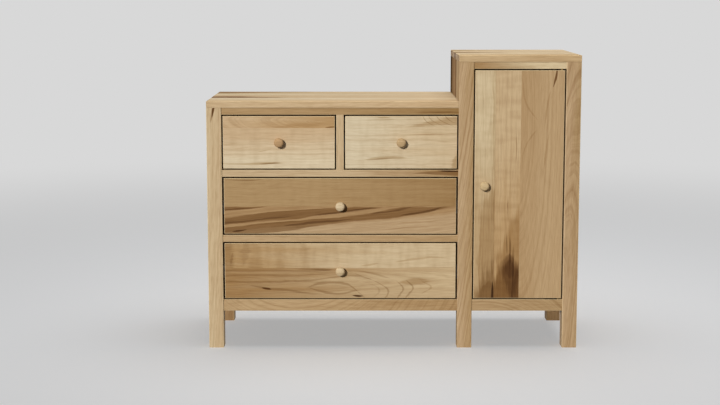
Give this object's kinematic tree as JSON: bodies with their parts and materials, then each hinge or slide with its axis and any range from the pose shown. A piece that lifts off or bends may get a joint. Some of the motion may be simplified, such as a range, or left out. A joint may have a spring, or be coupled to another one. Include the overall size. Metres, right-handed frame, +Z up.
{
  "type": "dresser tower",
  "caption": "Low wooden chest of drawers joined to a taller narrow cupboard with a slab door, on square legs with round turned knobs.",
  "frame": {"origin": "on the floor under the middle of the bounding box, knobs included", "axes": "+Z up, front towards -Y, tower at +X"},
  "size_m": [1.28, 0.511, 1.016],
  "materials": {
    "case_maple": "satin",
    "top_maple": "satin",
    "panel_maple": "satin",
    "door_maple": "satin",
    "drawer_front_maple": "satin",
    "knob_maple": "satin",
    "drawer_box_wood": "satin",
    "drawer_bottom_ply": "satin",
    "inner_wood": "matte",
    "back_ply": "matte",
    "slide_steel": "zinc plated",
    "plate_steel": "satin",
    "hinge_brass": "satin",
    "pin_brass": "satin",
    "catch_plastic": "moulded"
  },
  "bodies": {
    "case": {"front_left_post": "case_maple", "front_middle_post": "case_maple", "front_right_post": "case_maple", "rear_left_post": "case_maple", "rear_right_post": "case_maple", "rear_middle_stile": "case_maple", "low_top_rail": "case_maple", "upper_drawer_rail": "case_maple", "lower_drawer_rail": "case_maple", "low_bottom_rail": "case_maple", "tower_top_rail": "case_maple", "tower_bottom_rail": "case_maple", "drawer_divider": "case_maple", "left_side_rails": "case_maple", "partition_rails": "case_maple", "right_side_rails": "case_maple", "rear_rails": "case_maple", "low_top": "top_maple", "tower_top": "top_maple", "left_side_panel": "panel_maple", "partition_panel": "panel_maple", "right_side_panel": "panel_maple", "shelves": "panel_maple", "centre_partition": "inner_wood", "support_cleats": "inner_wood", "slide_cleats": "inner_wood", "floors": "inner_wood", "back_panels": "back_ply", "slide_case_members": "slide_steel", "hinge_case_leaves": "hinge_brass", "door_catch": "catch_plastic", "shelf_pins": "pin_brass"},
    "door": {"door_panel": "door_maple", "door_knob": "knob_maple", "hinge_door_leaves": "hinge_brass", "catch_plate": "plate_steel"},
    "upper_left_drawer": {"upper_left_drawer_front": "drawer_front_maple", "upper_left_drawer_box": "drawer_box_wood", "upper_left_drawer_bottom": "drawer_bottom_ply", "upper_left_drawer_knob": "knob_maple", "upper_left_drawer_slides": "slide_steel"},
    "upper_left_drawer_middle": {"upper_left_drawer_middle_slides": "slide_steel"},
    "upper_right_drawer": {"upper_right_drawer_front": "drawer_front_maple", "upper_right_drawer_box": "drawer_box_wood", "upper_right_drawer_bottom": "drawer_bottom_ply", "upper_right_drawer_knob": "knob_maple", "upper_right_drawer_slides": "slide_steel"},
    "upper_right_drawer_middle": {"upper_right_drawer_middle_slides": "slide_steel"},
    "middle_drawer": {"middle_drawer_front": "drawer_front_maple", "middle_drawer_box": "drawer_box_wood", "middle_drawer_bottom": "drawer_bottom_ply", "middle_drawer_knob": "knob_maple", "middle_drawer_slides": "slide_steel"},
    "middle_drawer_middle": {"middle_drawer_middle_slides": "slide_steel"},
    "lower_drawer": {"lower_drawer_front": "drawer_front_maple", "lower_drawer_box": "drawer_box_wood", "lower_drawer_bottom": "drawer_bottom_ply", "lower_drawer_knob": "knob_maple", "lower_drawer_slides": "slide_steel"},
    "lower_drawer_middle": {"lower_drawer_middle_slides": "slide_steel"}
  },
  "joints": [
    {"name": "door_hinge", "type": "hinge", "parent": "case", "child": "door", "pos_m": [0.5738, -0.2225, 0.56975], "axis": [0, 0, 1], "range_deg": [0, 110]},
    {"name": "upper_left_drawer_slide", "type": "slide", "parent": "case", "child": "upper_left_drawer", "axis": [0, -1, 0], "range_m": [0, 0.39]},
    {"name": "upper_left_drawer_middle_slide", "type": "slide", "parent": "case", "child": "upper_left_drawer_middle", "axis": [0, -1, 0], "range_m": [0, 0.195]},
    {"name": "upper_right_drawer_slide", "type": "slide", "parent": "case", "child": "upper_right_drawer", "axis": [0, -1, 0], "range_m": [0, 0.39]},
    {"name": "upper_right_drawer_middle_slide", "type": "slide", "parent": "case", "child": "upper_right_drawer_middle", "axis": [0, -1, 0], "range_m": [0, 0.195]},
    {"name": "middle_drawer_slide", "type": "slide", "parent": "case", "child": "middle_drawer", "axis": [0, -1, 0], "range_m": [0, 0.39]},
    {"name": "middle_drawer_middle_slide", "type": "slide", "parent": "case", "child": "middle_drawer_middle", "axis": [0, -1, 0], "range_m": [0, 0.195]},
    {"name": "lower_drawer_slide", "type": "slide", "parent": "case", "child": "lower_drawer", "axis": [0, -1, 0], "range_m": [0, 0.39]},
    {"name": "lower_drawer_middle_slide", "type": "slide", "parent": "case", "child": "lower_drawer_middle", "axis": [0, -1, 0], "range_m": [0, 0.195]}
  ],
  "couplings": [
    {"joint": "upper_left_drawer_middle_slide", "follows": "upper_left_drawer_slide", "ratio": 0.5},
    {"joint": "upper_right_drawer_middle_slide", "follows": "upper_right_drawer_slide", "ratio": 0.5},
    {"joint": "middle_drawer_middle_slide", "follows": "middle_drawer_slide", "ratio": 0.5},
    {"joint": "lower_drawer_middle_slide", "follows": "lower_drawer_slide", "ratio": 0.5}
  ]
}
